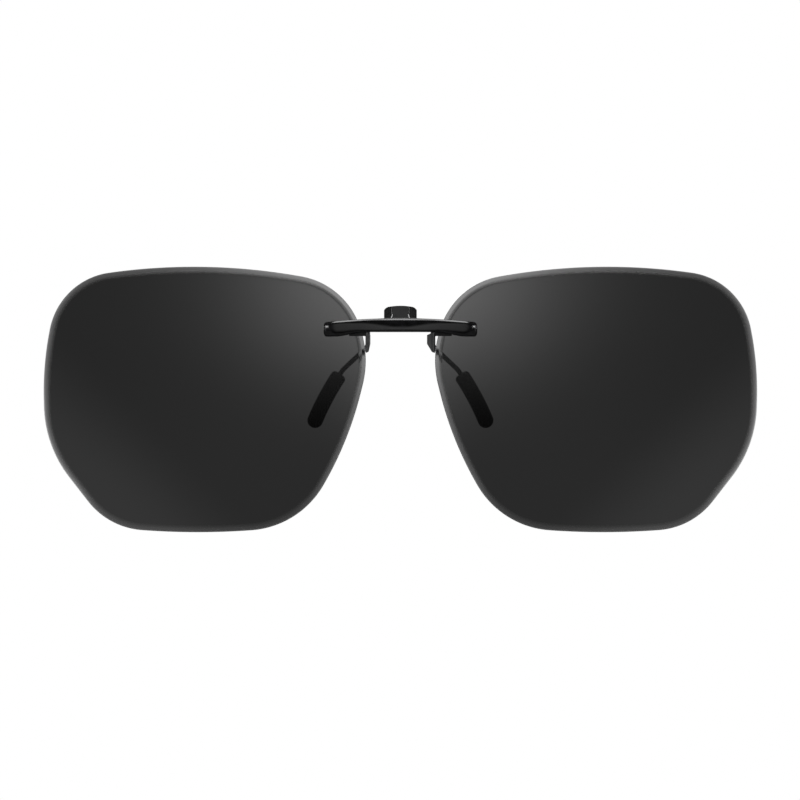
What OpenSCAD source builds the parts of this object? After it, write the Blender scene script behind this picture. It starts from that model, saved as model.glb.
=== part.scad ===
// Clip-on sunglasses: two rimless tinted lenses on a bridge bar, with a sprung
// pinch clip behind the bar. Front faces -Y, +Z is up, and the origin lies midway
// between the two rubber grips, in the plane where they close on a spectacle lens.

/* [Lenses] */
// Width of one lens
lens_w = 64.4; // [58:0.1:68]
// Height of one lens
lens_h = 52.8; // [46:0.1:58]
// Gap between the lenses at the nose
lens_gap = 13.8; // [13.6:0.1:16]
// Lens thickness
lens_t = 1.8; // [1.6:0.1:2.2]
// Radius of the curved front surface
lens_radius = 265; // [180:1:400]
// Width of the ground bevel round the front of a lens
bevel_w = 1.4; // [0.8:0.1:1.6]
// Depth of that bevel at the lens edge
bevel_d = 1.1; // [0.5:0.1:1.2]

/* [Bridge bar] */
// Length of the bar
bar_len = 30.6; // [30:0.1:34]
// Height of the bar at its waist
bar_h = 2.8; // [2.6:0.1:3]
// Height of the bar at its ends
bar_end_h = 2.9; // [2.7:0.1:3.3]
// Depth of the bar from front to back
bar_t = 1.8; // [1.6:0.1:2.2]
// Height of the top of the bar above the grips
bar_top = 16.35; // [16.2:0.05:16.8]
// Fall of the bar's top edge from its middle to its ends
bar_fall = 0.8; // [0.6:0.05:1.1]

/* [Clip] */
// Diameter of the hinge pin
pin_d = 1; // [0.8:0.05:1.2]
// Thickness of the stamped sheet
sheet_t = 0.5; // [0.4:0.05:0.55]
// Width of the thumb tab
tab_w = 6.6; // [5.6:0.1:8]
// Height of the thumb tab's top above the grips
tab_top = 18.9; // [18.2:0.1:21]
// Inward lean of the left hanging ear, in degrees
ear_lean_left = 8.5; // [6:0.5:24]
// Inward lean of the right hanging ear, in degrees
ear_lean_right = 22.5; // [6:0.5:24]
// Swing of the lever in this drawing, in degrees
swing = 0; // [0:1:24]

/* [Prongs] */
// Diameter of the prong wire
wire_d = 0.95; // [0.7:0.05:1.1]
// Diameter of a rubber grip
grip_d = 3.1; // [2.4:0.1:3.2]
// Length of a rubber grip
grip_len = 12; // [9:0.5:13]

/* [Hidden] */
$fn = 64;

// Turn of one chord on a rounded corner, in degrees
arc_step = 5;
// Room left between parts that are seated or turn on each other
slack = 0.02;
run_slack = 0.04;

gunmetal = [0.16, 0.16, 0.17];
polished = [0.55, 0.55, 0.57];
smoke = [0.2, 0.2, 0.21];
rubber = [0.06, 0.06, 0.065];
nylon = [0.75, 0.75, 0.72];

// Lens surfaces: one sphere centre lies straight behind the bar's hold on the lens,
// so the lens faces forward there and sweeps back towards the temple and the cheek
lens_x = (lens_gap + lens_w) / 2;
hold_x = 12.35;
hold_z = 14.3;
sphere_y = lens_radius - lens_t;
back_radius = lens_radius - lens_t;
back_bevel_w = 0.5;
back_bevel_d = 0.18;
// Part of the front bevel's depth that is left along the bottom of a lens
bottom_bevel = 0.5;

// Corners of the lens shape: distance towards the nose, height, corner radius,
// drawn at a width of 64.2 and a height of 52.8
drawn_w = 64.2;
drawn_h = 52.8;
lens_corners = [
    [-28.8, 24, 14], [0.2, 28, 120], [28.2, 23, 15], [32.9, 8.6, 20], [28.7, -8.3, 70],
    [18.9, -25.3, 18], [-1.4, -26.7, 150], [-19, -25.5, 15], [-31.8, -9.2, 24], [-32.1, 7.2, 65]
];

// Lens fasteners
screw_xs = [11, 13.7];
screw_d = 1;
screw_head_d = 1.9;
screw_head_t = 0.6;
washer_d = 2.4;
washer_t = 0.3;
bush_d = 1.5;
flange_t = 0.25;
thread_l = 1.1;

// Depths from front to back
bar_back = -lens_t - flange_t;
bar_front = bar_back - bar_t;
pin_y = 2;
pin_z = 15;
web_front = 4.4;
web_rear = web_front + sheet_t;

// Stamped parts
wing_x = 10.2;
wing_foot = 12.7;
lug_x = 6.85;
lug_lean = 7.5;
lug_rear = 3.95;
lug_foot = 13.65;
lug_top = 16;
ear_rear = 0.6;
ear_top = 13.45;
ear_foot = 9.4;
cheek_in = 6.9;
cheek_out = cheek_in + sheet_t;
cheek_front = 0.3;
cheek_foot = 13.75;
web_foot = 13.85;
lever_top = 16.1;
tab_panel = 3.5;
pin_head_d = 1.6;
pin_head_t = 0.35;

// Spring
spring_wire = 0.4;
coil_r = 0.95;
coil_pitch = 0.95;
coil_turns = 7;
rings_per_turn = 8;
front_leg_lean = 72;
front_leg = 3.68;
rear_leg_lean = 55;
rear_leg = 1.95;

// Prongs: the grip bends from mouth_lean to tip_lean off the vertical
wire_x = 6.5;
wire_y = web_rear + wire_d / 2 + slack;
wire_top = 15.6;
wire_elbow = 13.05;
wire_knee = [1.35, 10.7];
elbow_r = 1.2;
knee_r = 1;
lead_r = 3;
mouth = [12, 0.35 + grip_d / 2, 5.2];
mouth_lean = 34;
tip_lean = 21;
grip_back = 0.045;
grip_bend = (mouth_lean - tip_lean) / grip_len;

// Helpers: rounded outlines

function unit(v) = v / norm(v);
// Eases from 0 to 1
function smooth(t) = let (u = max(0, min(1, t))) u * u * (3 - 2 * u);
function flat(v) = [v[0], v[1]];

// Points of the arc that rounds one corner of a path
function corner_arc(before, here, after, radius, inset = 0) =
    radius == 0 ? [here] :
    let (
        to_before = unit(before - here),
        to_after = unit(after - here),
        half = acos(to_before * to_after) / 2,
        middle = here + unit(to_before + to_after) * radius / sin(half),
        first = unit(here + to_before * radius / tan(half) - middle),
        last = unit(here + to_after * radius / tan(half) - middle),
        turn = 180 - 2 * half,
        steps = max(2, ceil(turn / arc_step))
    )
    [for (i = [0:steps])
        middle + (radius - inset)
            * (sin(turn * (1 - i / steps)) * first + sin(turn * i / steps) * last) / sin(turn)];

// Closed outline from corners of [x, y, radius]
function rounded(corners, inset = 0) =
    let (n = len(corners))
    [for (i = [0:n - 1])
        each corner_arc(flat(corners[(i + n - 1) % n]), flat(corners[i]),
            flat(corners[(i + 1) % n]), corners[i][2], inset)];

// Helpers: skins through rings of points

function ring(centre, along, upright, radius, sides) =
    let (across = unit(cross(upright, along)), over = cross(along, across))
    [for (i = [0:sides - 1])
        centre + radius * (cos(360 * i / sides) * across + sin(360 * i / sides) * over)];

// Rings along a path of points, one radius for each point
function tube_rings(path, radii, upright, sides) =
    let (last = len(path) - 1)
    [for (i = [0:last])
        ring(path[i], unit(path[min(i + 1, last)] - path[max(i - 1, 0)]),
            upright, radii[i], sides)];

module skin(rings) {
    sides = len(rings[0]);
    last = len(rings) - 1;
    bands = [for (i = [0:last - 1], j = [0:sides - 1])
        let (a = i * sides + j, b = i * sides + (j + 1) % sides)
        each [[a, a + sides, b], [b, a + sides, b + sides]]];
    near_cap = [for (j = [1:sides - 2]) [0, j, j + 1]];
    far_cap = [for (j = [1:sides - 2]) [last * sides, last * sides + j + 1, last * sides + j]];
    polyhedron([for (r = rings) each r], concat(bands, near_cap, far_cap), convexity = 4);
}

module along_y(x, z)
    translate([x, 0, z]) rotate([-90, 0, 0]) children();

module extrude_y(from, to)
    translate([0, to, 0]) rotate([90, 0, 0]) linear_extrude(to - from) children();

module extrude_x(from, to)
    translate([from, 0, 0]) rotate([90, 0, 90]) linear_extrude(to - from) children();

// Lenses

function lens_outline(inset) =
    [for (p = rounded(lens_corners, inset))
        [p[0] * lens_w / drawn_w - lens_x, p[1] * lens_h / drawn_h]];

function surface_y(radius, p) =
    sphere_y - sqrt(pow(radius, 2) - pow(p[0] + hold_x, 2) - pow(p[1] - hold_z, 2));

// Ring of the lens edge: set in from the outline, at a depth off one lens surface
function edge_ring(inset, radius, depth) =
    [for (p = lens_outline(inset)) [p[0], surface_y(radius, p) + depth, p[1]]];

// The same for the front bevel, which grows shallower towards the bottom
function bevel_ring(inset, depth) =
    [for (p = lens_outline(inset))
        let (low = smooth((-2 * p[1] / lens_h - 0.55) / 0.4))
        [p[0], surface_y(lens_radius, p) + depth * (1 - low * (1 - bottom_bevel)), p[1]]];

function level_ring(inset, y) = [for (p = lens_outline(inset)) [p[0], y, p[1]]];

module ground_edge()
    skin([
        level_ring(2 * bevel_w, -15),
        bevel_ring(2 * bevel_w, -bevel_d),
        bevel_ring(0, bevel_d),
        edge_ring(0, back_radius, -back_bevel_d),
        edge_ring(2 * back_bevel_w, back_radius, back_bevel_d),
        level_ring(2 * back_bevel_w, 20)
    ]);

module lens()
    color(smoke)
    difference() {
        intersection() {
            translate([-hold_x, sphere_y, hold_z])
                difference() {
                    sphere(lens_radius, $fn = 360);
                    sphere(back_radius, $fn = 360);
                }
            ground_edge();
        }
        for (x = screw_xs)
            along_y(-x, bar_middle(x)) cylinder(d = bush_d + 2 * slack, h = 10, center = true);
    }

module lens_left() lens();
module lens_right() mirror([1, 0, 0]) lens();

// Bridge bar: a crowned section, flat at the back, lofted along the arch

bar_end_top = bar_top - bar_fall;
bar_end_foot = bar_end_top - bar_end_h;
bar_foot = bar_top - bar_h;
bar_crest = 14;
bar_crest_rise = 0.75;
bar_bow = 0.35;
bar_end_r = 0.9;
bar_end_sweep = 2.6;
// Powers of the superellipses that shape the section, round in the middle of the bar
// and flatter over the lenses, and the ends
section_power = 2.5;
outer_power = 4;
end_power = 2.4;

// The top is one arch, the foot is straight in the middle and drops over the lenses
top_arch = (pow(bar_len / 2, 2) + pow(bar_fall, 2)) / (2 * bar_fall);
function bar_top_z(x) = bar_top - top_arch + sqrt(pow(top_arch, 2) - pow(x, 2));
function bar_foot_z(x) = bar_foot - (bar_foot - bar_end_foot) * smooth((abs(x) - 7) / 6);
function outward(x) = smooth((abs(x) - 4) / 8);

// Height of the middle of the bar at a distance from its centre
function bar_middle(x) = (bar_top_z(x) + bar_foot_z(x)) / 2;

// Share of the full section that is left where the bar closes over a reach at its ends
function end_share(x, reach) =
    let (over = max(0, (abs(x) - bar_len / 2 + reach) / reach))
    pow(1 - pow(over, end_power), 1 / end_power);

// Section of the bar from its top, round the crowned front, to its foot
function bar_section(x) =
    let (
        share = end_share(x, bar_end_r),
        depth = end_share(x, bar_end_sweep) * (bar_t - bar_bow * pow(2 * x / bar_len, 2)),
        middle = bar_middle(x),
        crest = bar_crest + bar_crest_rise * outward(x),
        power = section_power + (outer_power - section_power) * outward(x)
    )
    [for (a = [90:-9:-90])
        let (
            edge = a > 0 ? bar_top_z(x) : bar_foot_z(x),
            z = crest + (edge - crest) * pow(abs(sin(a)), 2 / power)
        )
        [x, bar_back - depth * pow(max(0, cos(a)), 2 / power),
            middle + share * (z - middle)]];

// Stations along the bar, closer together where it closes at its ends
bar_ends = [0.993, 0.975, 0.945, 0.9, 0.84, 0.76, 0.66, 0.55, 0.38, 0.19];
bar_straight = bar_len / 2 - bar_end_sweep;
bar_stations = concat(
    [for (over = bar_ends) -bar_straight - over * bar_end_sweep],
    [for (i = [-12:12]) bar_straight * i / 12],
    [for (i = [len(bar_ends) - 1:-1:0]) bar_straight + bar_ends[i] * bar_end_sweep]
);

module bridge_bar()
    color(gunmetal)
    difference() {
        skin([for (x = bar_stations) bar_section(x)]);
        for (side = [-1, 1]) {
            for (x = screw_xs)
                along_y(side * x, bar_middle(x))
                    translate([0, 0, bar_back - thread_l - slack])
                        cylinder(d = screw_d + 2 * slack, h = 5);
            // Seat let into the back for the wing of the ear bracket
            translate([side * (wing_x + lug_x - 1) / 2, bar_back, bar_foot])
                cube([wing_x - lug_x + 1 + 0.2, 2 * sheet_t, 20], center = true);
        }
    }

// Lens fasteners: each stands along Y, with its local zero at the back of the lens

module screw(side, place)
    color(polished)
    along_y(side * screw_xs[place], bar_middle(screw_xs[place]))
        difference() {
            rotate_extrude()
                polygon(rounded([
                    [0, bar_back - thread_l, 0], [screw_d / 2 - 0.1, bar_back - thread_l, 0],
                    [screw_d / 2, bar_back - thread_l + 0.2, 0], [screw_d / 2, washer_t + slack, 0],
                    [screw_head_d / 2, washer_t + slack, 0.1],
                    [screw_head_d / 2, washer_t + screw_head_t, 0.35],
                    [0, washer_t + screw_head_t, 0]
                ]));
            translate([0, 0, washer_t + screw_head_t])
                cube([screw_head_d + 1, 0.3, 0.5], center = true);
        }

module bush(side, place)
    color(nylon)
    along_y(side * screw_xs[place], bar_middle(screw_xs[place]))
        difference() {
            union() {
                translate([0, 0, bar_back]) cylinder(d = washer_d, h = flange_t);
                translate([0, 0, bar_back]) cylinder(d = bush_d, h = lens_t + flange_t);
            }
            translate([0, 0, bar_back - 1]) cylinder(d = screw_d + 2 * slack, h = lens_t + 3);
        }

module washer(side, place)
    color(nylon)
    along_y(side * screw_xs[place], bar_middle(screw_xs[place]))
        translate([0, 0, slack])
            difference() {
                cylinder(d = washer_d, h = washer_t);
                translate([0, 0, -1]) cylinder(d = screw_d + 2 * slack, h = washer_t + 2);
            }

module screw_left_inner() screw(-1, 0);
module screw_left_outer() screw(-1, 1);
module screw_right_inner() screw(1, 0);
module screw_right_outer() screw(1, 1);
module bush_left_inner() bush(-1, 0);
module bush_left_outer() bush(-1, 1);
module bush_right_inner() bush(1, 0);
module bush_right_outer() bush(1, 1);
module washer_left_inner() washer(-1, 0);
module washer_left_outer() washer(-1, 1);
module washer_right_inner() washer(1, 0);
module washer_right_outer() washer(1, 1);

// Ear brackets: a wing seated in the bar's back, a lug bent rearward from it for the
// pin, and below the bar a free ear that is bent further in beside the lens

module pin_bore(room)
    translate([0, pin_y, pin_z]) rotate([0, 90, 0])
        cylinder(d = pin_d + 2 * room, h = 40, center = true);

// Plan of the sheet: the wing, and a leg bent rearward and inward from it
module bent_sheet(lean, rear)
    let (set_in = (rear - bar_back) * tan(lean))
    linear_extrude(20)
        polygon(rounded([
            [wing_x, bar_back, 0.1], [wing_x, bar_back - sheet_t, 0.1],
            [lug_x - sheet_t, bar_back - sheet_t, 0.7], [lug_x - sheet_t - set_in, rear, 0.1],
            [lug_x - set_in, rear, 0.1], [lug_x, bar_back, 0.2]
        ]));

module pin_lug()
    intersection() {
        bent_sheet(lug_lean, lug_rear);
        extrude_x(0, 20)
            polygon(rounded([
                [bar_back - 1, wing_foot - 1, 0], [bar_back + 0.4, wing_foot - 1, 0],
                [bar_back + 0.4, lug_foot, 0.2], [lug_rear, lug_foot, 0.8],
                [lug_rear, lug_top, 0.8], [bar_back - 1, lug_top, 0]
            ]));
        // The wing reaches lower than the lug, with a relief at the bend
        extrude_y(-10, 10)
            polygon(rounded([
                [0, lug_foot, 0], [lug_x - 0.05, lug_foot, 0], [lug_x - 0.05, wing_foot, 0],
                [wing_x + 1, wing_foot, 0], [wing_x + 1, 20, 0], [0, 20, 0]
            ]));
    }

module hanging_ear(lean)
    intersection() {
        bent_sheet(lean, ear_rear);
        extrude_x(0, lug_x + 0.4)
            polygon(rounded([
                [bar_back - 1, ear_foot - 0.3, 0], [ear_rear, ear_foot + 1.85, 0.6],
                [ear_rear, ear_top - 0.55, 0.3], [bar_back - 1, ear_top + 0.05, 0]
            ]));
        extrude_y(-10, 10)
            polygon(rounded([
                [0, 0, 0], [lug_x + 0.05, 0, 0], [lug_x + 0.05, wing_foot, 0.2],
                [lug_x + 1, wing_foot, 0], [lug_x + 1, 20, 0], [0, 20, 0]
            ]));
    }

module ear_bracket(lean)
    color(gunmetal)
    difference() {
        union() {
            pin_lug();
            hanging_ear(lean);
        }
        pin_bore(slack);
    }

module ear_bracket_left() mirror([1, 0, 0]) ear_bracket(ear_lean_left);
module ear_bracket_right() ear_bracket(ear_lean_right);

// Hinge pin, riveted over outside the lever's cheeks

module hinge_pin()
    color(polished)
    translate([0, pin_y, pin_z]) rotate([0, 90, 0])
        rotate_extrude()
            polygon([
                for (end = [-1, 1])
                    let (head = end * (cheek_out + 0.1))
                    each (end < 0
                        ? [[0, head - pin_head_t], [0.5, head - pin_head_t],
                           [pin_head_d / 2, head - 0.15], [pin_head_d / 2, head], [pin_d / 2, head]]
                        : [[pin_d / 2, head], [pin_head_d / 2, head], [pin_head_d / 2, head + 0.15],
                           [0.5, head + pin_head_t], [0, head + pin_head_t]])
            ]);

// Torsion spring: front leg on the bar, coil round the pin, rear leg on the lever

coil_from = 180 + front_leg_lean;
coil_to = 360 * coil_turns - rear_leg_lean;
coil_steps = round((coil_to - coil_from) / 360 * rings_per_turn);
coil_len = coil_pitch * (coil_to - coil_from) / 360;

function coil_point(angle) = [
    coil_pitch * (angle - coil_from) / 360 - coil_len / 2,
    pin_y + coil_r * cos(angle),
    pin_z + coil_r * sin(angle)
];

front_tip = coil_point(coil_from) + front_leg * [0, -sin(front_leg_lean), cos(front_leg_lean)];
rear_tip = coil_point(coil_to) + rear_leg * [0, sin(rear_leg_lean), cos(rear_leg_lean)];
coil = [for (i = [0:coil_steps]) coil_point(coil_from + (coil_to - coil_from) * i / coil_steps)];
spring_path = concat([front_tip, front_tip + 0.9 * (coil[0] - front_tip)], coil,
    [rear_tip + 0.9 * (coil[coil_steps] - rear_tip), rear_tip]);

// Least gap of the wire to itself, between rings that lie about a turn apart or more
spring_gaps = [for (i = [0:len(spring_path) - 1], j = [i + rings_per_turn - 1:1:len(spring_path) - 1])
    norm(spring_path[j] - spring_path[i])];
echo(least_spring_gap = min(spring_gaps) - spring_wire);

module torsion_spring()
    color(polished)
    skin(tube_rings(spring_path, [for (p = spring_path) spring_wire / 2], [1, 0, 0], 6));

// Lever: a channel with its web at the rear, two cheeks on the pin and a thumb tab

module swung()
    translate([0, pin_y, pin_z]) rotate([swing, 0, 0]) translate([0, -pin_y, -pin_z]) children();

module lever_channel()
    intersection() {
        linear_extrude(20)
            polygon(rounded([
                [cheek_in, cheek_front, 0.1], [cheek_in, web_front, 0.35],
                [-cheek_in, web_front, 0.35], [-cheek_in, cheek_front, 0.1],
                [-cheek_out, cheek_front, 0.1], [-cheek_out, web_rear, 0.8],
                [cheek_out, web_rear, 0.8], [cheek_out, cheek_front, 0.1]
            ]));
        extrude_x(-10, 10)
            polygon(rounded([
                [cheek_front - 0.1, cheek_foot, 1], [web_rear + 1, cheek_foot, 0],
                [web_rear + 1, lever_top, 0], [cheek_front - 0.1, lever_top, 1]
            ]));
        extrude_y(-5, 10)
            polygon(rounded([
                [-10, 0, 0], [-5.6, 0, 0], [-5.6, web_foot, 0.4], [5.6, web_foot, 0.4],
                [5.6, 0, 0], [10, 0, 0], [10, 20, 0], [-10, 20, 0]
            ]));
    }

// Thumb tab: a flat panel with two flanges folded rearward, open below at the creases
tab_rise = 0.45;
tab_edge = tab_w / 2;
crease = tab_panel / 2;
flange_y = web_front + tab_edge - crease;
flange_foot = 16.1;
fold = sheet_t * sin(45);
relief_w = 0.07;
relief_h = 1.3;

module thumb_tab()
    difference() {
        intersection() {
            linear_extrude(tab_top + 1)
                polygon(rounded([
                    [tab_edge, flange_y, 0.08], [crease, web_front, 0.12],
                    [-crease, web_front, 0.12], [-tab_edge, flange_y, 0.08],
                    [-tab_edge + fold, flange_y + fold, 0.08], [-crease + 0.2, web_rear, 0.2],
                    [crease - 0.2, web_rear, 0.2], [tab_edge - fold, flange_y + fold, 0.08]
                ]));
            extrude_y(0, 10)
                polygon(rounded([
                    [-crease, lever_top - 1, 0], [crease, lever_top - 1, 0],
                    [crease, flange_foot, 0], [tab_edge + 0.1, flange_foot, 0],
                    [tab_edge + 0.1, tab_top - tab_rise, 1.3], [0, tab_top, 12],
                    [-tab_edge - 0.1, tab_top - tab_rise, 1.3], [-tab_edge - 0.1, flange_foot, 0],
                    [-crease, flange_foot, 0]
                ]));
        }
        for (side = [-1, 1])
            translate([side * (crease + relief_w / 2), 0, flange_foot + 0.35])
                rotate([0, -side * 20, 0])
                    cube([relief_w, 20, relief_h], center = true);
    }

module clip_lever()
    color(gunmetal)
    swung()
    difference() {
        union() {
            lever_channel();
            thumb_tab();
        }
        pin_bore(run_slack);
    }

// Prong wires and rubber grips

// Point on a grip's centre line at a distance from its mouth
function grip_point(t) =
    let (lean = mouth_lean - grip_bend * t, turn = 180 / PI / grip_bend)
    mouth + [
        turn * (cos(lean) - cos(mouth_lean)),
        grip_back * t,
        -turn * (sin(mouth_lean) - sin(lean))
    ];

wire_in_grip = grip_len - 2.5;
wire_upright = unit([1, 0.4, 1]);
wire_lead = mouth - (grip_point(1) - mouth);
wire_top_point = [wire_x, wire_y, wire_top];
wire_elbow_point = [wire_x, wire_y, wire_elbow];
wire_knee_point = [wire_x, wire_knee[0], wire_knee[1]];
wire_path = concat(
    [wire_top_point],
    corner_arc(wire_top_point, wire_elbow_point, wire_knee_point, elbow_r),
    corner_arc(wire_elbow_point, wire_knee_point, wire_lead, knee_r),
    corner_arc(wire_knee_point, wire_lead, mouth, lead_r),
    [for (t = [0:1.9:wire_in_grip]) grip_point(t)]
);

module prong_wire(side)
    color(gunmetal)
    swung()
    mirror([side < 0 ? 1 : 0, 0, 0])
        skin(tube_rings(wire_path, [for (p = wire_path) wire_d / 2], wire_upright, 12));

// Grip wall as [distance from the mouth, radius]: up the bore, over the rounded
// mouth, down the outside and round the tip
grip_r = grip_d / 2;
bore_r = wire_d / 2 + slack;
bore_len = wire_in_grip + 0.1;
shoulder_r = 0.8;
grip_wall = concat(
    [for (i = [5:-1:0]) [bore_len * i / 5, bore_r]],
    [for (a = [0:22.5:90])
        [shoulder_r * (1 - sin(a)), grip_r - shoulder_r * (1 - cos(a))]],
    [for (i = [1:5]) [shoulder_r + (grip_len - grip_r - shoulder_r) * i / 6, grip_r]],
    [for (a = [0:15:75]) [grip_len - grip_r * (1 - sin(a)), grip_r * cos(a)]],
    [[grip_len, 0.12]]
);

module grip_sleeve(side)
    color(rubber)
    swung()
    mirror([side < 0 ? 1 : 0, 0, 0])
        skin([for (w = grip_wall)
            ring(grip_point(w[0]), unit(grip_point(w[0] + 0.1) - grip_point(w[0] - 0.1)),
                [0, 1, 0], w[1], 20)]);

module prong_wire_left() prong_wire(-1);
module prong_wire_right() prong_wire(1);
module grip_sleeve_left() grip_sleeve(-1);
module grip_sleeve_right() grip_sleeve(1);

bridge_bar();
lens_left();
lens_right();
screw_left_inner();
screw_left_outer();
screw_right_inner();
screw_right_outer();
bush_left_inner();
bush_left_outer();
bush_right_inner();
bush_right_outer();
washer_left_inner();
washer_left_outer();
washer_right_inner();
washer_right_outer();
ear_bracket_left();
ear_bracket_right();
hinge_pin();
torsion_spring();
clip_lever();
prong_wire_left();
prong_wire_right();
grip_sleeve_left();
grip_sleeve_right();
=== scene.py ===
"""Clip-on sunglasses: tinted lenses, glossy bridge bar and a sprung pinch clip."""
import math
import bpy
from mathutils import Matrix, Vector


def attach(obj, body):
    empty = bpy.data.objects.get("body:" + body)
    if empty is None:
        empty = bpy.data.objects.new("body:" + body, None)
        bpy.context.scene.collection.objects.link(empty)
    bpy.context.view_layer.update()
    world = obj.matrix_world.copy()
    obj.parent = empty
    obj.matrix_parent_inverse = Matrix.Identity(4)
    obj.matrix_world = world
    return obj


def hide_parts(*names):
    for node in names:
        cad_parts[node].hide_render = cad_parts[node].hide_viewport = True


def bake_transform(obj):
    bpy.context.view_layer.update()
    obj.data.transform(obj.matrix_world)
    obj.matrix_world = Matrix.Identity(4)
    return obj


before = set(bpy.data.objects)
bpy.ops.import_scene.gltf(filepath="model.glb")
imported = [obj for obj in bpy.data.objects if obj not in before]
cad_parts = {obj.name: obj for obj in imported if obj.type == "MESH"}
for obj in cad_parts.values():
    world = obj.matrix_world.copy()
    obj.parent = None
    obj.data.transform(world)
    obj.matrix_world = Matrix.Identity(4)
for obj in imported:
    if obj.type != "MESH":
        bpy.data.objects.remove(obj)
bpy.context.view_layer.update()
MM = 0.001
X_AXIS, Y_AXIS, Z_AXIS = Vector((1, 0, 0)), Vector((0, 1, 0)), Vector((0, 0, 1))

# Lens sizes, shared with the solids, in millimetres

LENS_W, LENS_H, LENS_GAP, LENS_T = 64.4, 52.8, 13.8, 1.8
LENS_X = (LENS_GAP + LENS_W) / 2
FRONT_RADIUS = 265.0
BACK_RADIUS = FRONT_RADIUS - LENS_T
# The lens faces forward where the bar holds it, in front of the centre of its spheres
HOLD_X, HOLD_Z = 12.35, 14.3
LENS_CENTRE = Vector((-HOLD_X, BACK_RADIUS, HOLD_Z))
# Corners of the left lens as x, z and radius, drawn for a lens of this width
DRAWN_W = 64.2
LENS_CORNERS = [
    (-28.8, 24, 14), (0.2, 28, 120), (28.2, 23, 15), (32.9, 8.6, 20), (28.7, -8.3, 70),
    (18.9, -25.3, 18), (-1.4, -26.7, 150), (-19, -25.5, 15), (-31.8, -9.2, 24), (-32.1, 7.2, 65),
]
BUSH_HOLE_R = 0.77
SCREW_XS = (11.0, 13.7)

# Bar sizes

BAR_LEN, BAR_T = 30.6, 1.8
BAR_BACK = -2.05
BAR_TOP, BAR_FOOT, BAR_END_FOOT = 16.35, 13.55, 12.65
BAR_CREST, BAR_CREST_RISE = 14.0, 0.65
TOP_ARCH = 146.706
BAR_BOW, BAR_END_R, BAR_END_SWEEP = 0.35, 0.9, 2.6
# Roundness of the section in the middle, further out and at the tips, and of the ends
SECTION_POWER, OUTER_POWER, TIP_POWER, END_POWER = 2.5, 5.0, 2.2, 3.2
TOP_CHAMFER, CHAMFER_LEAN = 0.06, 52.0
# Finer fit of the dressed bar: its foot stands a little proud, its shoulders fall away
FOOT_LIP, SHOULDER_FALL = 0.06, 0.08
# Distance from the middle where a change of the section starts, and its length
FOOT_DROP, SHOULDER_DROP, CREST_SHIFT = (7.0, 6.0), (1.0, 4.0), (4.0, 8.0)
SQUARING, TIP_ROUNDING = (1.0, 7.0), (12.6, 2.0)
SEAT_X, SEAT_DEPTH = (5.75, 10.3), 0.5
THREAD_R, THREAD_DEPTH = 0.52, 1.12

# Spring sizes

PIN = Vector((0, 2, 15))
SPRING_R = 0.2
SPRING_TIP = 0.86
COIL_R = 0.95
COIL_PITCH = 0.95
COIL_FROM, COIL_TO = 252.0, 2465.0
COIL_LEN = COIL_PITCH * (COIL_TO - COIL_FROM) / 360
FRONT_LEG, FRONT_LEG_LEAN = 3.68, 72.0
REAR_LEG, REAR_LEG_LEAN = 1.95, 55.0

# Prong sizes

WIRE_R = 0.475
WEB_REAR = 4.9
WIRE_X = 6.5
WIRE_Y = WEB_REAR + WIRE_R + 0.02
WIRE_TOP, WIRE_ELBOW = 15.6, 13.05
WIRE_KNEE_Y, WIRE_KNEE_Z = 1.35, 10.7
ELBOW_R, KNEE_R, LEAD_R = 1.2, 1.0, 3.0
# Shares of the wire's radius at its cut top, where it is rounded over
CUT_ROUND = [0.6, 0.85, 0.97]
CUT_STEP = 0.06
MOUTH = Vector((12.0, 1.9, 5.2))
MOUTH_LEAN, TIP_LEAN = 34.0, 21.0
GRIP_LEN, GRIP_R = 12.0, 1.55
GRIP_BACK = 0.045
GRIP_TIP_R = 0.06
BORE_ROOM, BORE_END_ROOM = 0.02, 0.1
SHOULDER_R = 0.8
WIRE_IN_GRIP = 9.5


# Curves and outlines

def ease(share):
    """Eases from 0 to 1."""
    held = max(0.0, min(1.0, share))
    return held * held * (3 - 2 * held)


def ease_from(value, start, length):
    """Eases from 0 to 1 while a value runs through a length from its start."""
    return ease((value - start) / length)


def corner_arc(before, here, after, radius, chord_turn):
    """Points of the arc that rounds one corner of a path."""
    to_before = (before - here).normalized()
    to_after = (after - here).normalized()
    half = to_before.angle(to_after) / 2
    middle = here + (to_before + to_after).normalized() * radius / math.sin(half)
    first = (here + to_before * radius / math.tan(half) - middle).normalized()
    last = (here + to_after * radius / math.tan(half) - middle).normalized()
    turn = math.pi - 2 * half
    steps = max(2, math.ceil(math.degrees(turn) / chord_turn))
    points = []
    for i in range(steps + 1):
        share = i / steps
        along = math.sin(turn * (1 - share)) * first + math.sin(turn * share) * last
        points.append(middle + along * radius / math.sin(turn))
    return points


def rounded_outline(corners, chord_turn):
    """Closed outline of points from corners given as x, z and radius."""
    flat = [Vector((c[0], c[1])) for c in corners]
    count = len(flat)
    points = []
    for i, corner in enumerate(corners):
        points += corner_arc(flat[i - 1], flat[i], flat[(i + 1) % count], corner[2], chord_turn)
    return points


def even_outline(points, count):
    """The same closed outline with its points spread evenly along it."""
    lengths = [0.0]
    for i, p in enumerate(points):
        lengths.append(lengths[-1] + (points[(i + 1) % len(points)] - p).length)
    spread, at = [], 0
    for k in range(count):
        goal = lengths[-1] * k / count
        while lengths[at + 1] < goal:
            at += 1
        share = (goal - lengths[at]) / (lengths[at + 1] - lengths[at])
        spread.append(points[at].lerp(points[(at + 1) % len(points)], share))
    return spread


def inward_normals(points):
    """Unit vectors that point into a closed outline, one for each point."""
    middle = sum(points, Vector((0, 0))) / len(points)
    normals = []
    for i, p in enumerate(points):
        along = points[(i + 1) % len(points)] - points[i - 1]
        normal = Vector((-along.y, along.x)).normalized()
        normals.append(normal if normal.dot(middle - p) > 0 else -normal)
    return normals


# Meshes

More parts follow.
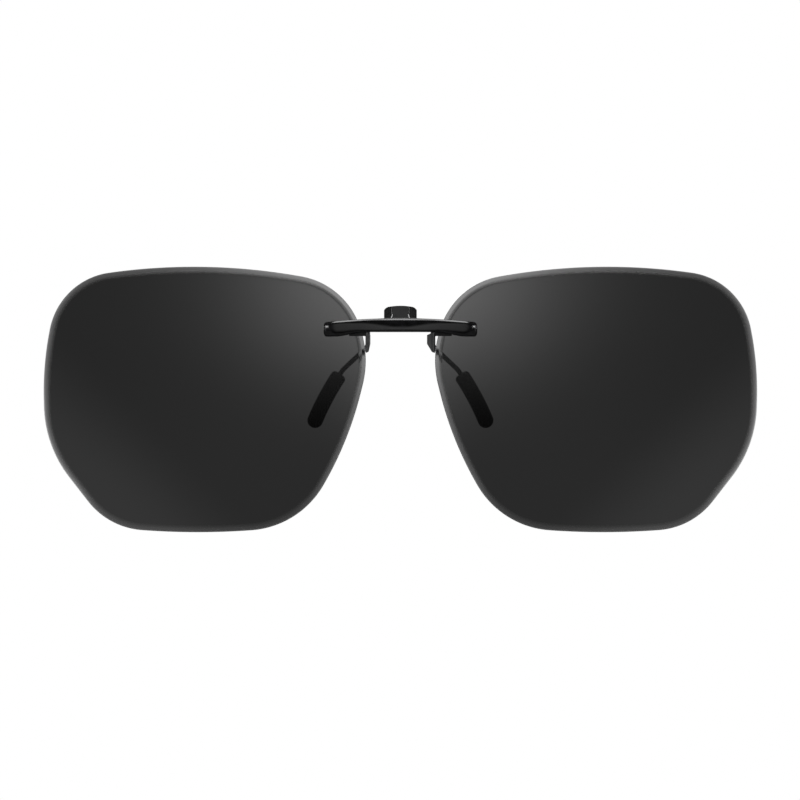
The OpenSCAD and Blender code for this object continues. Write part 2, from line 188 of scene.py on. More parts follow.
def mesh_object(name, points, faces, unit=MM):
    """A mesh object from points in a unit, millimetres unless another is given."""
    mesh = bpy.data.meshes.new(name)
    mesh.from_pydata([Vector(p) * unit for p in points], [], faces)
    made = bpy.data.objects.new(name, mesh)
    bpy.context.scene.collection.objects.link(made)
    return made


def make_piece(name, skinned, material, body, sharp):
    """A piece of the object from a skin's points, faces and surface coordinates."""
    points, faces, uvs = skinned
    piece = mesh_object(name, points, faces)
    layer = piece.data.uv_layers.new(name="UVMap")
    for i, uv in enumerate(uvs):
        layer.data[i].uv = uv
    piece.data.validate()
    finish_piece(piece, material, body, sharp)
    return piece


def finish_piece(piece, material, body, sharp):
    """Finish, slot and body of a piece, smooth except at edges sharper than an angle."""
    mesh = piece.data
    mesh.materials.clear()
    mesh.materials.append(material)
    for polygon in mesh.polygons:
        polygon.use_smooth = True
    mesh.set_sharp_from_angle(angle=math.radians(sharp))
    if body:
        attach(piece, body)


def ring(centre, along, upright, radius, sides):
    """Points of a circle square to a direction."""
    across = upright.cross(along).normalized()
    over = along.cross(across)
    turn = 2 * math.pi / sides
    return [centre + radius * (math.cos(turn * i) * across + math.sin(turn * i) * over)
            for i in range(sides)]


def tube_rings(path, radii, upright, sides):
    """Rings of a tube along a path, with a radius for each of its points."""
    last = len(path) - 1
    return [ring(p, (path[min(i + 1, last)] - path[max(i - 1, 0)]).normalized(),
                 upright, radii[i], sides)
            for i, p in enumerate(path)]


def skin(rings):
    """Points, faces and surface coordinates of a skin through rings, closed at both ends."""
    sides = len(rings[0])
    points = [p for r in rings for p in r]
    last = len(rings) - 1
    reach = [0.0]
    for i in range(last):
        reach.append(reach[-1] + (rings[i + 1][0] - rings[i][0]).length)
    faces, uvs = [], []
    for i in range(last):
        for j in range(sides):
            k = (j + 1) % sides
            faces.append((i * sides + j, i * sides + k, (i + 1) * sides + k, (i + 1) * sides + j))
            uvs += [(j / sides, reach[i]), ((j + 1) / sides, reach[i]),
                    ((j + 1) / sides, reach[i + 1]), (j / sides, reach[i + 1])]
    for row, order in ((0, range(sides - 1, -1, -1)), (last, range(sides))):
        faces.append(tuple(row * sides + j for j in order))
        uvs += [(j / sides, reach[row]) for j in order]
    return points, faces, uvs


def mirrored(points, faces, uvs):
    """The same skin on the other side of the middle plane."""
    flipped = [Vector((-p[0], p[1], p[2])) for p in points]
    turned, turned_uvs, at = [], [], 0
    for face in faces:
        turned.append(tuple(reversed(face)))
        turned_uvs += list(reversed(uvs[at:at + len(face)]))
        at += len(face)
    return flipped, turned, turned_uvs


def rod(x, z, radius, start, end, sides):
    """A short rod along Y, as the tool for a round hole."""
    return skin([ring(Vector((x, y, z)), Y_AXIS, Z_AXIS, radius, sides) for y in (start, end)])


def block(low, high):
    """A block between two corners, as the tool for a seat."""
    ends = [[Vector((x, y, z)) for y, z in ((high[1], low[2]), (high[1], high[2]),
                                           (low[1], high[2]), (low[1], low[2]))]
            for x in (low[0], high[0])]
    return skin(ends)


def cut_piece(name, points, faces, tools):
    """A mesh object with the shapes of some tools cut out of it."""
    blank = mesh_object(name, points, faces)
    tool_points, tool_faces = [], []
    for some_points, some_faces, _ in tools:
        start = len(tool_points)
        tool_points += some_points
        tool_faces += [tuple(start + i for i in face) for face in some_faces]
    cutter = mesh_object(name + "_cutter", tool_points, tool_faces)
    cut = blank.modifiers.new("cut", "BOOLEAN")
    cut.object = cutter
    cut.solver = "EXACT"
    bpy.context.view_layer.update()
    result = blank.evaluated_get(bpy.context.evaluated_depsgraph_get())
    mesh = bpy.data.meshes.new_from_object(result)
    blank.modifiers.clear()
    old, blank.data = blank.data, mesh
    mesh.name = name
    bpy.data.meshes.remove(old)
    bpy.data.objects.remove(cutter)
    return blank


# Materials

class Shader:
    """A node tree built by naming node types, settings and inputs."""

    def __init__(self, owner):
        owner.use_nodes = True
        self.owner = owner
        self.tree = owner.node_tree
        self.tree.nodes.clear()

    def add(self, kind, inputs=None, **settings):
        made = self.tree.nodes.new(kind)
        for key, value in settings.items():
            setattr(made, key, value)
        for key, value in (inputs or {}).items():
            if isinstance(value, bpy.types.NodeSocket):
                self.tree.links.new(value, made.inputs[key])
            else:
                made.inputs[key].default_value = value
        return made

    def place(self, output="Object"):
        return self.add("ShaderNodeTexCoord").outputs[output]

    def parts(self, vector):
        return self.add("ShaderNodeSeparateXYZ", {"Vector": vector}).outputs

    def stretch(self, vector, scale):
        return self.add("ShaderNodeMapping", {"Vector": vector, "Scale": scale}).outputs["Vector"]

    def noise(self, vector, scale, detail=3.0, roughness=0.5):
        return self.add("ShaderNodeTexNoise", {
            "Vector": vector, "Scale": scale, "Detail": detail, "Roughness": roughness,
        }).outputs["Fac"]

    def span(self, value, low, high, from_low=0.3, from_high=0.7):
        """A value spread over a range, held at its ends."""
        return self.add("ShaderNodeMapRange", {
            "Value": value, "From Min": from_low, "From Max": from_high,
            "To Min": low, "To Max": high,
        }, interpolation_type="SMOOTHSTEP").outputs["Result"]

    def math(self, operation, a, b=0.0):
        return self.add("ShaderNodeMath", {0: a, 1: b}, operation=operation).outputs[0]

    def times(self, a, b):
        return self.math("MULTIPLY", a, b)

    def plus(self, a, b):
        return self.math("ADD", a, b)

    def bell(self, distance, spread):
        """A bell curve of a distance, 1 at its top."""
        fall = self.times(self.times(distance, distance), -1 / (2 * spread ** 2))
        return self.math("POWER", math.e, fall)

    def mix(self, share, a, b):
        made = self.add("ShaderNodeMix", {0: share, 6: a, 7: b}, data_type="RGBA")
        return made.outputs[2]

    def vector(self, operation, *vectors):
        made = self.add("ShaderNodeVectorMath", dict(enumerate(vectors)), operation=operation)
        return made.outputs["Value"]

    def bump(self, height, distance, strength=1.0, normal=None):
        inputs = {"Height": height, "Distance": distance, "Strength": strength}
        if normal:
            inputs["Normal"] = normal
        return self.add("ShaderNodeBump", inputs).outputs["Normal"]

    def rounded(self, radius):
        """Normal of a piece whose edges are rounded by a radius."""
        return self.add("ShaderNodeBevel", {"Radius": radius}, samples=4).outputs["Normal"]

    def edge_wear(self, radius):
        """Rounded normal, and a mask that is 1 along the edges of a piece."""
        soft = self.rounded(radius)
        true = self.add("ShaderNodeNewGeometry").outputs["Normal"]
        return soft, self.span(self.vector("DOT_PRODUCT", soft, true), 1.0, 0.0, 0.9, 0.995)

    def finish(self, surface, volume=None):
        inputs = {"Surface": surface}
        if volume:
            inputs["Volume"] = volume
        self.add("ShaderNodeOutputMaterial", inputs)
        return self.owner


def new_shader(name):
    return Shader(bpy.data.materials.new(name))


def grey(value, tint=0.0):
    """A grey, a little bluer where there is a tint."""
    return (value, value, value * (1 + tint), 1.0)


def gunmetal(name, ior, gloss, matt, body=0.002):
    """Black plating, slightly uneven, rubbed paler along the edges."""
    s = new_shader(name)
    place = s.place()
    cloud = s.noise(place, 700)
    peel = s.noise(place, 5200, detail=1.0)
    rub = s.noise(place, 2600, detail=4.0)
    soft, edge = s.edge_wear(0.00012)
    worn = s.times(edge, s.span(rub, 0.0, 1.0, 0.45, 0.7))
    base = s.mix(s.span(cloud, 0.0, 1.0), grey(body), grey(2.5 * body, 0.1))
    surface = s.add("ShaderNodeBsdfPrincipled", {
        "Base Color": s.mix(worn, base, grey(0.06)),
        "Roughness": s.plus(s.span(cloud, gloss, matt), s.times(worn, 0.12)),
        "IOR": ior,
        "Normal": s.bump(peel, 0.000004, 0.5, soft),
    })
    return s.finish(surface.outputs[0])


def steel(name, drawn):
    """Bright steel with fine marks, along the wire where it is drawn."""
    s = new_shader(name)
    if drawn:
        marks = s.noise(s.stretch(s.place("UV"), (90.0, 0.35, 1.0)), 1.0, detail=2.0)
    else:
        marks = s.noise(s.place(), 4200, detail=2.0)
    cloud = s.noise(s.place(), 900)
    surface = s.add("ShaderNodeBsdfPrincipled", {
        "Base Color": s.mix(s.span(cloud, 0.0, 1.0), grey(0.42), grey(0.58, 0.03)),
        "Metallic": 1.0,
        "Roughness": s.span(marks, 0.2, 0.36),
        "Normal": s.bump(marks, 0.000004, 0.6, s.rounded(0.00006)),
    })
    return s.finish(surface.outputs[0])


def nylon():
    """Natural nylon: milky, satin, faintly mottled."""
    s = new_shader("natural_nylon")
    place = s.place()
    cloud = s.noise(place, 1500)
    grain = s.noise(place, 9000, detail=2.0)
    surface = s.add("ShaderNodeBsdfPrincipled", {
        "Base Color": s.mix(s.span(cloud, 0.0, 1.0), (0.66, 0.65, 0.6, 1), (0.78, 0.78, 0.74, 1)),
        "Roughness": s.span(grain, 0.38, 0.52),
        "Subsurface Weight": 0.15,
        "Subsurface Scale": 0.0006,
        "Normal": s.bump(grain, 0.000004, 0.5),
    })
    return s.finish(surface.outputs[0])


def silicone():
    """Satin black silicone with a fine moulded grain and a little lint."""
    s = new_shader("black_silicone")
    place = s.place()
    cloud = s.noise(place, 600)
    grain = s.noise(place, 7000, detail=3.0)
    lint = s.span(s.noise(place, 2100, detail=4.0, roughness=0.6), 0.0, 1.0, 0.62, 0.85)
    base = s.mix(s.span(cloud, 0.0, 1.0), grey(0.008), grey(0.014))
    surface = s.add("ShaderNodeBsdfPrincipled", {
        "Base Color": s.mix(lint, base, grey(0.022)),
        "Roughness": s.span(grain, 0.46, 0.56),
        "Normal": s.bump(grain, 0.000005, 0.25),
    })
    return s.finish(surface.outputs[0])


def lens_tint():
    """Smoke-grey lens: polished faces, a finely ground edge, tint all through."""
    s = new_shader("smoke_lens")
    place = s.place()
    ground = s.add("ShaderNodeAttribute", attribute_name="ground_edge").outputs["Fac"]
    cloud = s.noise(s.stretch(place, (1.0, 1.0, 2.2)), 55, detail=4.0)
    smear = s.span(cloud, 0.0, 0.022, 0.5, 0.75)
    grind = s.noise(place, 4500, detail=2.0)
    frost = s.times(ground, s.span(grind, 0.28, 0.4))
    surface = s.add("ShaderNodeBsdfPrincipled", {
        "Base Color": grey(1.0),
        "Roughness": s.plus(smear, frost),
        "IOR": 1.5,
        "Transmission Weight": 1.0,
        "Normal": s.bump(s.times(ground, grind), 0.000004, 0.2),
    })
    # Lets 2.5 parts in 100 of the light through the full thickness
    tint = s.add("ShaderNodeVolumeAbsorption", {"Color": grey(0.9), "Density": 20600.0})
    return s.finish(surface.outputs[0], tint.outputs[0])


GUNMETAL = gunmetal("gunmetal_gloss", 1.65, 0.1, 0.17)
SATIN = gunmetal("gunmetal_satin", 1.22, 0.4, 0.5, 0.055)
EAR_SATIN = gunmetal("gunmetal_ear", 1.45, 0.38, 0.48)
STEEL = steel("turned_steel", False)
DRAWN_STEEL = steel("drawn_steel", True)
NYLON = nylon()
SILICONE = silicone()
LENS_TINT = lens_tint()

# Angles past which the edges of a piece stay sharp, in degrees
LENS_SHARP, BAR_SHARP, TUBE_SHARP = 16, 45, 50

# Lenses: front and back faces on their spheres, joined by a ground edge

OUTLINE_POINTS = 288
FACE_RINGS = 22
HOLE_SIDES = 48
HOLE_Y = (-6.0, 4.0)
# Ground edge: a bevel, a ledge at a lower slope and a steep lip, each with the width
# where it starts, set in from the outline, and its fall; the lip widens lower down, and
# the ledge is as steep as the bevel on the temple side
BEVEL_W, BEVEL_FALL = 1.4, 0.79
LEDGE_W, LEDGE_FALL = 0.7, 0.21
LIP_W, LOW_LIP_W, LIP_FALL = 0.12, 0.34, 2.2
# Where the lip widens and the bevel grows shallower, as shares of half the lens height
# below its middle, and where the outline faces the temple
LIP_WIDENING, BOTTOM_FADE, TEMPLE_SIDE = (-0.35, 0.5), (0.55, 0.4), (0.45, 0.35)
# Part of the front bevel's depth that is left along the bottom
BOTTOM_BEVEL = 0.5
# Shares of the bevel, the ledge and the lip that lie inside each ring of the front edge
FRONT_EDGE = [(0, 0, 0), (0.05, 0, 0), (0.95, 0, 0), (1, 0, 0), (1, 0.05, 0), (1, 0.95, 0),
              (1, 1, 0), (1, 1, 0.1), (1, 1, 0.9), (1, 1, 1)]
# Set-in from the outline, and depth below the back face, from that face out to the wall
BACK_EDGE = [(0.56, 0.0), (0.53, 0.0015), (0.5, 0.0055), (0.47, 0.012), (0.44, 0.0216),
             (0.4, 0.036), (0.09, 0.1476), (0.05, 0.162), (0.015, 0.18), (0.0, 0.205)]
# Depth below a face at which the edge counts as fully ground
GROUND_DEPTH = 0.06


def bar_edges(x):
    """Heights of the bar's top and foot at a distance from its centre."""
    top = BAR_TOP - TOP_ARCH + math.sqrt(TOP_ARCH ** 2 - x ** 2)
    foot = BAR_FOOT - (BAR_FOOT - BAR_END_FOOT) * ease_from(abs(x), *FOOT_DROP)
    return top, foot


def bar_middle(x):
    return sum(bar_edges(x)) / 2


def on_sphere(radius, p, depth=0.0):
    """Point of a lens face over a point of its front view, pushed back by a depth."""
    dx, dz = p.x - LENS_CENTRE.x, p.y - LENS_CENTRE.z
    y = LENS_CENTRE.y - math.sqrt(radius ** 2 - dx ** 2 - dz ** 2)
    return Vector((p.x, y + depth, p.y))


def front_edge_point(p, inward, bevel, ledge, lip):
    """Point of the ground front edge, with the given shares of its flats inside it."""
    down = -2 * p.y / LENS_H
    left = 1 - ease_from(down, *BOTTOM_FADE) * (1 - BOTTOM_BEVEL)
    lip_w = LIP_W + (LOW_LIP_W - LIP_W) * ease_from(down, *LIP_WIDENING)
    ledge_fall = LEDGE_FALL + (BEVEL_FALL - LEDGE_FALL) * ease_from(inward.x, *TEMPLE_SIDE)
    runs = bevel * (BEVEL_W - LEDGE_W), ledge * (LEDGE_W - lip_w), lip * lip_w
    depth = runs[0] * BEVEL_FALL + runs[1] * ledge_fall + runs[2] * LIP_FALL
    return on_sphere(FRONT_RADIUS, p + inward * (BEVEL_W - sum(runs)), depth * left)


def lens_skin():
    """Points and faces of the left lens."""
    drawn = rounded_outline(LENS_CORNERS, 0.8)
    widened = [Vector((p.x * LENS_W / DRAWN_W - LENS_X, p.y)) for p in drawn]
    outline = even_outline(widened, OUTLINE_POINTS)
    edge = list(zip(outline, inward_normals(outline)))
    middle = sum(outline, Vector((0, 0))) / OUTLINE_POINTS

    def face_ring(radius, inset, share):
        return [on_sphere(radius, middle.lerp(p + n * inset, share)) for p, n in edge]

    shares = [(i + 1) / (FACE_RINGS + 1) for i in range(FACE_RINGS)]
    rings = [face_ring(FRONT_RADIUS, BEVEL_W, s) for s in shares]
    rings += [[front_edge_point(p, n, *inside) for p, n in edge] for inside in FRONT_EDGE]
    rings += [[on_sphere(BACK_RADIUS, p + n * inset, -depth) for p, n in edge]
              for inset, depth in reversed(BACK_EDGE)]
    rings += [face_ring(BACK_RADIUS, BACK_EDGE[0][0], s) for s in reversed(shares)]
    points, faces, _ = skin(rings)
    # The end caps become fans about the middle of each face
    faces = faces[:-2]
    count = len(points)
    points += [on_sphere(FRONT_RADIUS, middle), on_sphere(BACK_RADIUS, middle)]
    start = count - OUTLINE_POINTS
    for j in range(OUTLINE_POINTS):
        k = (j + 1) % OUTLINE_POINTS
        faces.append((count, k, j))
        faces.append((count + 1, start + j, start + k))
    return points, faces


def make_lens(side, node):
    points, faces = lens_skin()
    if side > 0:
        points = [Vector((-p.x, p.y, p.z)) for p in points]
        faces = [tuple(reversed(f)) for f in faces]
    holes = [rod(side * x, bar_middle(x), BUSH_HOLE_R, *HOLE_Y, HOLE_SIDES) for x in SCREW_XS]
    lens = cut_piece("tinted_" + node, points, faces, holes)
    mesh = lens.data
    centre = Vector((side * HOLD_X, LENS_CENTRE.y, LENS_CENTRE.z))
    ground = mesh.attributes.new("ground_edge", "FLOAT", "POINT")
    for i, vertex in enumerate(mesh.vertices):
        reach = (vertex.co / MM - centre).length
        depth = min(FRONT_RADIUS - reach, reach - BACK_RADIUS)
        ground.data[i].value = min(1.0, max(0.0, depth / GROUND_DEPTH))
    finish_piece(lens, LENS_TINT, "frame", LENS_SHARP)
    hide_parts(node)


make_lens(-1, "lens_left")
make_lens(1, "lens_right")

# Bridge bar: a crowned section, flat at the back, closed smoothly at its ends

SECTION_STEPS = 72
STATIONS, END_STATIONS = 56, 20
# Share of the end's sweep at which the bar is closed
END_CLOSE = 0.993
THREAD_SIDES = 32
# Reach of the cutting tools past the bar
TOOL_Y, TOOL_Z = 1.0, (5.0, 25.0)


def bar_section(x):
    """Points of the bar's section from its top, round the front, to its foot."""
    def left_over(reach):
        over = max(0.0, (abs(x) - BAR_LEN / 2 + reach) / reach)
        return (1 - over ** END_POWER) ** (1 / END_POWER)

    out = abs(x)
    share = left_over(BAR_END_R)
    depth = left_over(BAR_END_SWEEP) * (BAR_T - BAR_BOW * (2 * x / BAR_LEN) ** 2)
    top, foot = bar_edges(x)
    top -= SHOULDER_FALL * ease_from(out, *SHOULDER_DROP)
    foot -= FOOT_LIP
    middle = (top + foot) / 2
    outward = ease_from(out, *CREST_SHIFT)
    crest = BAR_CREST + BAR_CREST_RISE * outward
    power = SECTION_POWER + (OUTER_POWER - SECTION_POWER) * ease_from(out, *SQUARING)
    tip = ease_from(out, *TIP_ROUNDING)
    power += (TIP_POWER - power) * tip
    points = []
    for i in range(SECTION_STEPS + 1):
        a = math.pi * (0.5 - i / SECTION_STEPS)
        edge = top if a > 0 else foot
        z = crest + (edge - crest) * abs(math.sin(a)) ** (2 / power)
        y = BAR_BACK - depth * max(0.0, math.cos(a)) ** (2 / power)
        points.append(Vector((x, y, middle + share * (z - middle))))
    return eased_arris(points, TOP_CHAMFER * outward * (1 - tip))


def eased_arris(points, cut):
    """The same section with the arris along its top taken down to a narrow flat."""
    lean = math.radians(CHAMFER_LEAN)
    out = Vector((0, -math.cos(lean), math.sin(lean)))
    level = max(p.dot(out) for p in points) - cut
    return [p - out * max(0.0, p.dot(out) - level) for p in points]


def make_bar():
    straight = BAR_LEN / 2 - BAR_END_SWEEP
    closing = [END_CLOSE * (1 - (1 - i / END_STATIONS) ** 2) for i in range(1, END_STATIONS + 1)]
    stations = [straight * i / STATIONS for i in range(-STATIONS, STATIONS + 1)]
    ends = [straight + BAR_END_SWEEP * over for over in closing]
    stations = [-x for x in reversed(ends)] + stations + ends
    points, faces, _ = skin([bar_section(x) for x in stations])
    tools = []
    for side in (-1, 1):
        for x in SCREW_XS:
            deepest = BAR_BACK - THREAD_DEPTH
            tools.append(rod(side * x, bar_middle(x), THREAD_R, deepest, TOOL_Y, THREAD_SIDES))
        low, high = sorted(side * x for x in SEAT_X)
        tools.append(block((low, BAR_BACK - SEAT_DEPTH, TOOL_Z[0]), (high, TOOL_Y, TOOL_Z[1])))
    bar = cut_piece("bridge_rail", points, faces, tools)
    finish_piece(bar, GUNMETAL, "frame", BAR_SHARP)
    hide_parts("bridge_bar")


make_bar()

# Torsion spring: one drawn wire, bent smoothly from its legs into the coil

COIL_STEPS, FRONT_LEG_STEPS, REAR_LEG_STEPS = 300, 12, 8
SPRING_SIDES = 16


def coil_point(degrees):
    turn = math.radians(degrees)
    along = COIL_PITCH * (degrees - COIL_FROM) / 360 - COIL_LEN / 2
    return Vector((along, PIN.y + COIL_R * math.cos(turn), PIN.z + COIL_R * math.sin(turn)))


def leg_tip(start, length, lean, rearward):
    lean = math.radians(lean)
    return start + length * Vector((0, rearward * math.sin(lean), math.cos(lean)))


def spring_path():
    turn = COIL_TO - COIL_FROM
    coil = [coil_point(COIL_FROM + turn * i / COIL_STEPS) for i in range(COIL_STEPS + 1)]
    front = leg_tip(coil[0], FRONT_LEG, FRONT_LEG_LEAN, -1)
    rear = leg_tip(coil[-1], REAR_LEG, REAR_LEG_LEAN, 1)
    lead_in = [front.lerp(coil[0], i / FRONT_LEG_STEPS) for i in range(FRONT_LEG_STEPS)]
    lead_out = [coil[-1].lerp(rear, (i + 1) / REAR_LEG_STEPS) for i in range(REAR_LEG_STEPS)]
    return lead_in + coil + lead_out


def make_spring():
    path = spring_path()
    radii = [SPRING_R] * len(path)
    radii[0] = radii[-1] = SPRING_R * SPRING_TIP
    wire = skin(tube_rings(path, radii, X_AXIS, SPRING_SIDES))
    spring = make_piece("coil_spring", wire, DRAWN_STEEL, None, TUBE_SHARP)
    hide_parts("torsion_spring")
    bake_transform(spring)


make_spring()

# Prong wires and rubber grips

UPRIGHT = Vector((1, 0.4, 1)).normalized()
WIRE_SIDES, GRIP_SIDES = 24, 48
WIRE_TOP_STEPS, WIRE_GRIP_STEPS, WIRE_CHORD_TURN = 5, 24, 3
BORE_STEPS, SHOULDER_STEPS, BARREL_STEPS, TIP_STEPS = 16, 12, 28, 16


def grip_point(t):
    """Point on a grip's centre line at a distance from its mouth."""
    bend = math.radians(MOUTH_LEAN - TIP_LEAN) / GRIP_LEN
    start = math.radians(MOUTH_LEAN)
    lean = start - bend * t
    return MOUTH + Vector(((math.cos(lean) - math.cos(start)) / bend, GRIP_BACK * t,
                           -(math.sin(start) - math.sin(lean)) / bend))


def grip_ring(t, radius):
    along = (grip_point(t + 0.1) - grip_point(t - 0.1)).normalized()
    return ring(grip_point(t), along, Y_AXIS, radius, GRIP_SIDES)


def wire_path():
    top = Vector((WIRE_X, WIRE_Y, WIRE_TOP))
    elbow = Vector((WIRE_X, WIRE_Y, WIRE_ELBOW))
    knee = Vector((WIRE_X, WIRE_KNEE_Y, WIRE_KNEE_Z))
    lead = MOUTH - (grip_point(1) - MOUTH)
    path = [top - Z_AXIS * (CUT_STEP * i * i) for i in range(WIRE_TOP_STEPS)]
    path += corner_arc(top, elbow, knee, ELBOW_R, WIRE_CHORD_TURN)
    path += corner_arc(elbow, knee, lead, KNEE_R, WIRE_CHORD_TURN)
    path += corner_arc(knee, lead, MOUTH, LEAD_R, WIRE_CHORD_TURN)
    path += [grip_point(WIRE_IN_GRIP * i / WIRE_GRIP_STEPS) for i in range(WIRE_GRIP_STEPS + 1)]
    return path


def wire_rings():
    path = wire_path()
    radii = [WIRE_R * share for share in CUT_ROUND]
    radii += [WIRE_R] * (len(path) - len(CUT_ROUND))
    return tube_rings(path, radii, UPRIGHT, WIRE_SIDES)


def grip_rings():
    """Rings up the bore to the mouth, over the shoulder and down to the round tip."""
    wall = []
    for i in range(BORE_STEPS, -1, -1):
        wall.append(((WIRE_IN_GRIP + BORE_END_ROOM) * i / BORE_STEPS, WIRE_R + BORE_ROOM))
    for i in range(SHOULDER_STEPS, -1, -1):
        a = math.pi / 2 * i / SHOULDER_STEPS
        wall.append((SHOULDER_R * (1 - math.sin(a)), GRIP_R - SHOULDER_R * (1 - math.cos(a))))
    barrel = GRIP_LEN - GRIP_R - SHOULDER_R
    for i in range(1, BARREL_STEPS):
        wall.append((SHOULDER_R + barrel * i / BARREL_STEPS, GRIP_R))
    for i in range(TIP_STEPS):
        a = math.pi / 2 * i / TIP_STEPS
        wall.append((GRIP_LEN - GRIP_R * (1 - math.sin(a)), GRIP_R * math.cos(a)))
    wall.append((GRIP_LEN, GRIP_TIP_R))
    return [grip_ring(t, radius) for t, radius in wall]


def make_prongs():
    wire, grip = skin(wire_rings()), skin(grip_rings())
    for side, mark in ((-1, "left"), (1, "right")):
        for part, name, node, material, slot in (
                (wire, "prong_rod_", "prong_wire_", SATIN, "gunmetal"),
                (grip, "rubber_grip_", "grip_sleeve_", SILICONE, "silicone")):
            skinned = part if side > 0 else mirrored(*part)
            piece = make_piece(name + mark, skinned, material, "lever", TUBE_SHARP)
            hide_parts(node + mark)


make_prongs()

# Finishes of the solids that show as they are, by the first word of their names

FINISHES = {"screw": STEEL, "hinge": STEEL, "bush": NYLON, "washer": NYLON, "ear": EAR_SATIN}

for name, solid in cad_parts.items():
    solid.data.materials.clear()
    solid.data.materials.append(FINISHES.get(name.split("_")[0], GUNMETAL))

# Studio: white backdrop behind, dim room in front, a soft glow round the camera; in metres

FLOOR_R, FLOOR_Z, FLOOR_SIDES = 0.4, -0.15, 96
FLOOR_PALE, FLOOR_MIRRORED, FLOOR_GLOW = 0.8, 0.1, 0.55

BACKDROP_AT, BACKDROP_HALF = (0, 0.022, 0.028), 0.9
# Bright spot behind the bridge, and a narrower one behind the nose that fades downward
SPOT_STRENGTH, SPOT_SPREAD, SPOT_FLATNESS = 3.8, 0.0205, 1.46
NOSE_STRENGTH, NOSE_SPREAD, NOSE_FADE = 1.3, 0.006, (-0.046, -0.026)
# Levels of the rest, from the bridge out to the cheeks and from the foot upward
CHEEK_LEAN, CHEEK_LEVELS, CHEEK_FADE = 0.7, (0.9, 1.44), (0.0562, 0.0752)
FOOT_LEVELS, FOOT_FADE = (1.1, 0.93), (-0.0475, -0.0155)

# What gloss mirrors, by direction: the room behind, dimmer below the level of the eye, a
# glow round the camera, and a veil at each side
BEHIND_LEVELS, BEHIND_FADE = (0.03, 0.45), (-0.1, 0.3)
LOW_LEVELS, LOW_FADE = (0.3, 1.0), (-0.25, 0.0)
GLOW_AXIS = Vector((0, -1, 0.052)).normalized()
GLOW_STRENGTH, GLOW_SPREAD = 0.57, 0.00856
VEIL_LEVELS, VEIL_FADE, VEIL_END = (0.0, 0.45), (0.8, 0.97), (-0.18, -0.06)
# What shows through glass, and what lights matt surfaces
SEEN_THROUGH, ROOM_LIGHT = 0.8, 0.5

# Name, place, width, depth and power of each softbox
SOFTBOXES = [
    ("softbox_left", (-0.87, -0.65, 0.08), 0.7, 0.24, 4.0),
    ("softbox_right", (0.87, -0.65, 0.08), 0.7, 0.24, 4.0),
    ("softbox_top", (0.0, 0.26, 1.1), 0.66, 0.66, 4.6),
]

CAMERA_X, CAMERA_DISTANCE, VIEW_WIDTH, CAMERA_REACH = -0.00008, 2.5, 0.1592, 20.0
SENSOR_W = 36.0


def make_floor():
    """Pale round floor below the frame of the picture; it still takes the shadow."""
    s = new_shader("pale_floor")
    path = s.add("ShaderNodeLightPath").outputs
    pale = s.add("ShaderNodeBsdfDiffuse", {"Color": grey(FLOOR_PALE)}).outputs[0]
    dim = s.add("ShaderNodeBsdfDiffuse", {"Color": grey(FLOOR_MIRRORED)}).outputs[0]
    matte = s.add("ShaderNodeMixShader", {0: path["Is Glossy Ray"], 1: pale, 2: dim})
    seen = s.plus(path["Is Camera Ray"], path["Is Transmission Ray"])
    glow = s.add("ShaderNodeEmission", {"Color": grey(1.0), "Strength": s.times(seen, FLOOR_GLOW)})
    both = s.add("ShaderNodeAddShader", {0: matte.outputs[0], 1: glow.outputs[0]})
    turn = 2 * math.pi / FLOOR_SIDES
    points = [(FLOOR_R * math.cos(turn * i), FLOOR_R * math.sin(turn * i), FLOOR_Z)
              for i in range(FLOOR_SIDES)]
    floor = mesh_object("floor", points, [tuple(range(FLOOR_SIDES))], 1.0)
    floor.data.materials.append(s.finish(both.outputs[0]))


def backdrop_strength(s):
    """Strength of the backdrop's light over its face."""
    place = s.place()
    part = s.parts(place)
    aside, up = s.math("ABSOLUTE", part["X"]), part["Z"]
    far = s.vector("LENGTH", s.stretch(place, (1.0, 1.0, SPOT_FLATNESS)))
    spot = s.times(s.bell(far, SPOT_SPREAD), SPOT_STRENGTH)
    nose = s.times(s.bell(aside, NOSE_SPREAD), s.span(up, 0.0, NOSE_STRENGTH, *NOSE_FADE))
    cheek = s.math("SUBTRACT", s.times(aside, CHEEK_LEAN), s.times(up, CHEEK_LEAN))
    base = s.span(cheek, *CHEEK_LEVELS, *CHEEK_FADE)
    base = s.times(base, s.span(up, *FOOT_LEVELS, *FOOT_FADE))
    return s.plus(s.plus(spot, nose), base)


def make_backdrop():
    """Backdrop panel that shows only through the lenses, brightest behind the bridge."""
    s = new_shader("lit_backdrop")
    glow = s.add("ShaderNodeEmission", {"Color": grey(1.0), "Strength": backdrop_strength(s)})
    half = BACKDROP_HALF
    corners = [(-half, 0, -half), (half, 0, -half), (half, 0, half), (-half, 0, half)]
    panel = mesh_object("backdrop", corners, [(0, 1, 2, 3)], 1.0)
    panel.data.materials.append(s.finish(glow.outputs[0]))
    panel.location = BACKDROP_AT
    panel.visible_camera = False
    panel.visible_diffuse = False
    panel.visible_glossy = False
    panel.visible_shadow = False


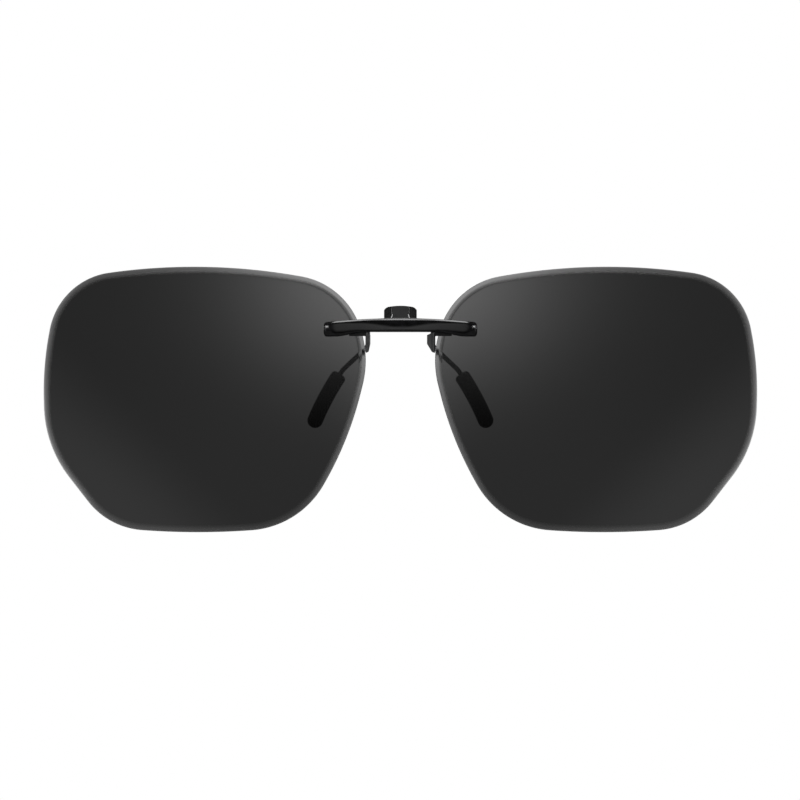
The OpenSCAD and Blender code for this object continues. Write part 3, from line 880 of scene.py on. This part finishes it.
def mirrored_room(s):
    """Strength of the room that gloss mirrors, by direction."""
    towards = s.place("Generated")
    part = s.parts(towards)
    behind = s.times(s.span(part["Y"], *BEHIND_LEVELS, *BEHIND_FADE),
                     s.span(part["Z"], *LOW_LEVELS, *LOW_FADE))
    facing = s.vector("DOT_PRODUCT", towards, GLOW_AXIS)
    fall = s.math("DIVIDE", s.math("SUBTRACT", facing, 1.0), GLOW_SPREAD)
    glow = s.times(s.math("POWER", math.e, fall), GLOW_STRENGTH)
    veil = s.times(s.span(s.math("ABSOLUTE", part["X"]), *VEIL_LEVELS, *VEIL_FADE),
                   s.span(part["Y"], 1.0, 0.0, *VEIL_END))
    return s.plus(s.plus(behind, veil), glow)


def make_world():
    """White to the camera, plain to matt surfaces, and a dim room in gloss."""
    world = bpy.data.worlds.new("studio")
    bpy.context.scene.world = world
    s = Shader(world)
    path = s.add("ShaderNodeLightPath").outputs
    seen = s.plus(path["Is Camera Ray"], s.times(path["Is Transmission Ray"], SEEN_THROUGH))
    gloss = s.times(path["Is Glossy Ray"], mirrored_room(s))
    plain = s.times(path["Is Diffuse Ray"], ROOM_LIGHT)
    strength = s.plus(seen, s.plus(gloss, plain))
    background = s.add("ShaderNodeBackground", {"Color": grey(1.0), "Strength": strength})
    s.add("ShaderNodeOutputWorld", {"Surface": background.outputs[0]})


def make_softbox(name, place, width, depth, power):
    """A soft rectangular lamp that faces the object."""
    light = bpy.data.lights.new(name, "AREA")
    light.shape = "RECTANGLE"
    light.size = width
    light.size_y = depth
    light.energy = power
    lamp = bpy.data.objects.new(name, light)
    lamp.location = place
    lamp.rotation_mode = "QUATERNION"
    lamp.rotation_quaternion = (-Vector(place)).to_track_quat("-Z", "Y")
    lamp.visible_camera = False
    bpy.context.scene.collection.objects.link(lamp)


def make_camera():
    """A long lens straight in front, as wide as the picture at the object."""
    data = bpy.data.cameras.new("camera")
    data.sensor_width = SENSOR_W
    data.lens = SENSOR_W * CAMERA_DISTANCE / VIEW_WIDTH
    data.clip_end = CAMERA_REACH
    camera = bpy.data.objects.new("camera", data)
    camera.location = (CAMERA_X, -CAMERA_DISTANCE, 0.0)
    camera.rotation_euler = (math.pi / 2, 0, 0)
    bpy.context.scene.collection.objects.link(camera)
    bpy.context.scene.camera = camera


make_floor()
make_backdrop()
make_world()
for softbox in SOFTBOXES:
    make_softbox(*softbox)
make_camera()
bpy.context.scene.view_settings.view_transform = "Standard"
